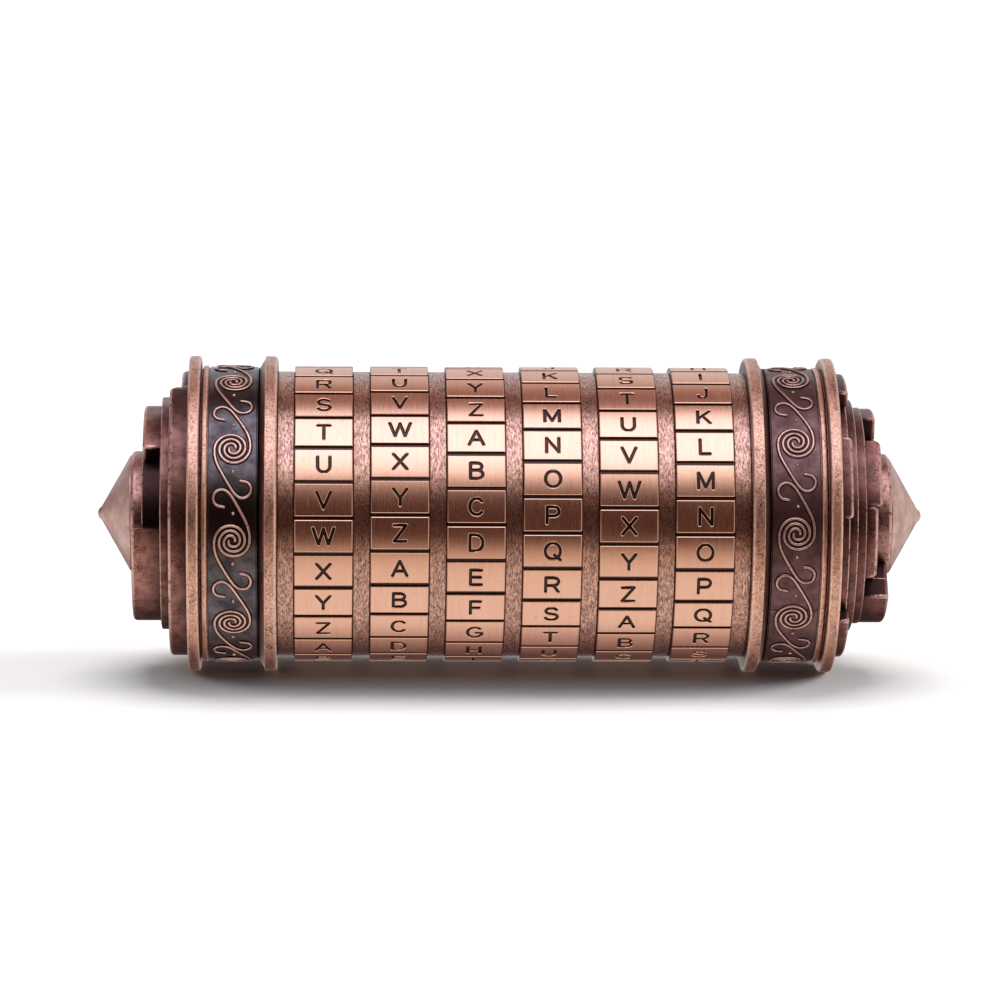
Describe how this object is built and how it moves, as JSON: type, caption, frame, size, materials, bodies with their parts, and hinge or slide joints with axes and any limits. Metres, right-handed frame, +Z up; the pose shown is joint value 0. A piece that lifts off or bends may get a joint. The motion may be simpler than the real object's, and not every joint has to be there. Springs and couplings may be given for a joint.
{
  "type": "cryptex",
  "caption": "Cylindrical letter-lock message vault: turning alphabet rings on a slotted tube, a vault that pulls out of one end, and cone finials.",
  "frame": {"origin": "middle of the axis, halfway between the two finial tips", "axes": "+X along the axis towards the end the vault pulls out of, +Z up, -Y the side whose letters face the viewer"},
  "size_m": [0.118, 0.045, 0.045],
  "materials": {
    "brushed_copper": "brushed copper plate, lacquered",
    "brown_copper": "rough brushed, browned copper plate",
    "antique_copper": "antique copper plate with dark patina in the hollows",
    "dark_copper": "darkened cast copper plate with worn edges",
    "dark_bronze": "satin dark brown patina, raised copper scrolls",
    "satin_copper": "satin pinkish copper plate",
    "bare_brass": "machined, unplated"
  },
  "bodies": {
    "frame": {"slotted_tube": "bare_brass", "left_end_flange": "antique_copper", "left_end_cap": "dark_copper", "left_finial": "satin_copper", "left_cap_screws": "bare_brass", "left_bead_ring": "antique_copper", "left_sleeve": "dark_bronze", "left_inner_flange": "antique_copper", "spacer_1": "brown_copper", "spacer_2": "brown_copper", "spacer_3": "brown_copper", "spacer_4": "brown_copper", "spacer_5": "brown_copper", "spacer_6": "brown_copper", "spacer_7": "brown_copper", "right_inner_flange": "antique_copper", "right_sleeve": "dark_bronze", "right_bead_ring": "antique_copper", "retaining_ring": "bare_brass", "retaining_screws": "bare_brass"},
    "vault": {"vault_tube": "bare_brass", "pin_rail": "bare_brass", "locking_pin_1": "bare_brass", "locking_pin_2": "bare_brass", "locking_pin_3": "bare_brass", "locking_pin_4": "bare_brass", "locking_pin_5": "bare_brass", "locking_pin_6": "bare_brass", "right_end_flange": "antique_copper", "right_end_cap": "dark_copper", "right_finial": "satin_copper", "right_cap_screws": "bare_brass"},
    "wheel_1": {"letter_ring_1": "brushed_copper", "code_ring_1": "bare_brass"},
    "wheel_2": {"letter_ring_2": "brushed_copper", "code_ring_2": "bare_brass"},
    "wheel_3": {"letter_ring_3": "brushed_copper", "code_ring_3": "bare_brass"},
    "wheel_4": {"letter_ring_4": "brushed_copper", "code_ring_4": "bare_brass"},
    "wheel_5": {"letter_ring_5": "brushed_copper", "code_ring_5": "bare_brass"},
    "wheel_6": {"letter_ring_6": "brushed_copper", "code_ring_6": "bare_brass"}
  },
  "joints": [
    {"name": "vault_slide", "type": "slide", "parent": "frame", "child": "vault", "axis": [1, 0, 0], "range_m": [0, 0.09]},
    {"name": "wheel_1_turn", "type": "hinge", "parent": "frame", "child": "wheel_1", "pos_m": [-0.02672, 0, 0], "axis": [1, 0, 0], "continuous": true},
    {"name": "wheel_2_turn", "type": "hinge", "parent": "frame", "child": "wheel_2", "pos_m": [-0.01604, 0, 0], "axis": [1, 0, 0], "continuous": true},
    {"name": "wheel_3_turn", "type": "hinge", "parent": "frame", "child": "wheel_3", "pos_m": [-0.00534, 0, 0], "axis": [1, 0, 0], "continuous": true},
    {"name": "wheel_4_turn", "type": "hinge", "parent": "frame", "child": "wheel_4", "pos_m": [0.00534, 0, 0], "axis": [1, 0, 0], "continuous": true},
    {"name": "wheel_5_turn", "type": "hinge", "parent": "frame", "child": "wheel_5", "pos_m": [0.01604, 0, 0], "axis": [1, 0, 0], "continuous": true},
    {"name": "wheel_6_turn", "type": "hinge", "parent": "frame", "child": "wheel_6", "pos_m": [0.02672, 0, 0], "axis": [1, 0, 0], "continuous": true}
  ]
}
